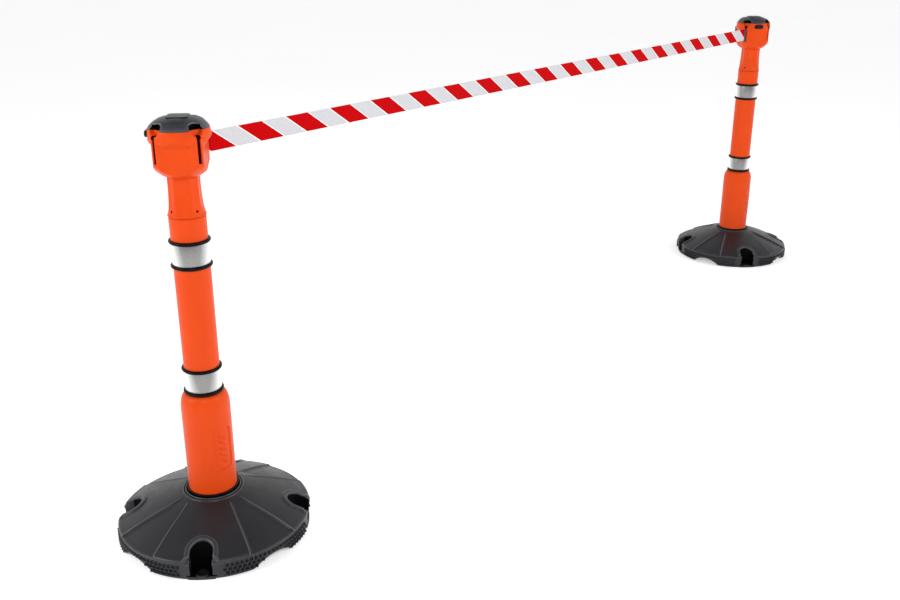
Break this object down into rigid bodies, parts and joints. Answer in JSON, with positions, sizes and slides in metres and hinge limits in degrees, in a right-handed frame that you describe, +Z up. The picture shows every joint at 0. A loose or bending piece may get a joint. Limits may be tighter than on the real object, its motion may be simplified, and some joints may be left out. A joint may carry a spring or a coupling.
{
  "type": "retractable belt barrier",
  "caption": "Pair of free-standing orange posts on domed black rubber bases, joined by a level red and white tape from a spring reel in one head to a slot in the other.",
  "frame": {"origin": "on the floor, midway between the two posts", "axes": "+Z up, +X from the near post (unit a) to the far post (unit b) along the tape, +Y to the side away from the camera"},
  "size_m": [3.4948, 0.4948, 1.0783],
  "materials": {
    "base_rubber": "satin, fine moulded grain",
    "ring_rubber": "smooth, slightly glossy",
    "orange_plastic": "satin moulded polyethylene",
    "black_plastic": "satin, fine spark texture",
    "pad_plastic": "matt grey plate",
    "reflective_sheet": "silver retro-reflective sheeting with a fine diagonal hatch",
    "steel": "zinc plated",
    "spring_steel": "blued",
    "nylon": "natural nylon",
    "tape_fabric": "woven tape with red and silver-white reflective stripes"
  },
  "bodies": {
    "posts": {"base_a": "base_rubber", "base_bolt_a": "steel", "rubber_seal_a": "ring_rubber", "post_a": "orange_plastic", "post_plug_a": "black_plastic", "head_neck_a": "orange_plastic", "head_housing_a": "orange_plastic", "top_cap_a": "black_plastic", "cap_pad_a": "pad_plastic", "cap_screw_a": "steel", "reel_shaft_a": "steel", "mainspring_a": "spring_steel", "spring_cup_a": "nylon", "button_spring_a": "spring_steel", "base_b": "base_rubber", "base_bolt_b": "steel", "rubber_seal_b": "ring_rubber", "post_b": "orange_plastic", "post_plug_b": "black_plastic", "head_neck_b": "orange_plastic", "head_housing_b": "orange_plastic", "top_cap_b": "black_plastic", "cap_pad_b": "pad_plastic", "cap_screw_b": "steel", "reel_shaft_b": "steel", "mainspring_b": "spring_steel", "spring_cup_b": "nylon", "button_spring_b": "spring_steel", "rubber_ring_a_1": "ring_rubber", "rubber_ring_a_2": "ring_rubber", "rubber_ring_a_3": "ring_rubber", "rubber_ring_a_4": "ring_rubber", "rubber_ring_b_1": "ring_rubber", "rubber_ring_b_2": "ring_rubber", "rubber_ring_b_3": "ring_rubber", "rubber_ring_b_4": "ring_rubber", "reflective_band_a_1": "reflective_sheet", "reflective_band_a_2": "reflective_sheet", "reflective_band_b_1": "reflective_sheet", "reflective_band_b_2": "reflective_sheet", "neck_screw_a_1": "steel", "neck_screw_a_2": "steel", "neck_screw_a_3": "steel", "neck_screw_a_4": "steel", "neck_screw_b_1": "steel", "neck_screw_b_2": "steel", "neck_screw_b_3": "steel", "neck_screw_b_4": "steel"},
    "tape": {"tape_a": "tape_fabric", "tape_lead_a": "tape_fabric", "tape_clip_a": "black_plastic"},
    "reel_a": {"reel_a": "nylon", "tape_roll_a": "tape_fabric"},
    "reel_b": {"reel_b": "nylon", "tape_roll_b": "tape_fabric"},
    "button_a": {"lock_button_a": "black_plastic"},
    "button_b": {"lock_button_b": "black_plastic"},
    "parked_clip": {"tape_clip_b": "black_plastic", "tape_stub_b": "tape_fabric"}
  },
  "joints": [
    {"name": "tape_unhook", "type": "hinge", "parent": "posts", "child": "tape", "pos_m": [-1.428, 0, 1.0044], "axis": [0, -1, 0], "range_deg": [0, 1.6]},
    {"name": "reel_spin_a", "type": "hinge", "parent": "posts", "child": "reel_a", "pos_m": [-1.5, 0, 1], "axis": [0, 0, 1], "continuous": true},
    {"name": "reel_spin_b", "type": "hinge", "parent": "posts", "child": "reel_b", "pos_m": [1.5, 0, 1], "axis": [0, 0, 1], "range_deg": [-32, 0]},
    {"name": "clip_pull_b", "type": "slide", "parent": "posts", "child": "parked_clip", "axis": [0, 1, 0], "range_m": [0, 0.02]},
    {"name": "lock_push_a", "type": "slide", "parent": "posts", "child": "button_a", "axis": [0.7071, -0.7071, 0], "range_m": [0, 0.0035], "stiffness_N_per_m": 400, "springref_m": -0.004},
    {"name": "lock_push_b", "type": "slide", "parent": "posts", "child": "button_b", "axis": [0.7071, 0.7071, 0], "range_m": [0, 0.0035], "stiffness_N_per_m": 400, "springref_m": -0.004}
  ],
  "couplings": [
    {"joint": "clip_pull_b", "follows": "reel_spin_b", "m_per_rad": -0.0355}
  ]
}
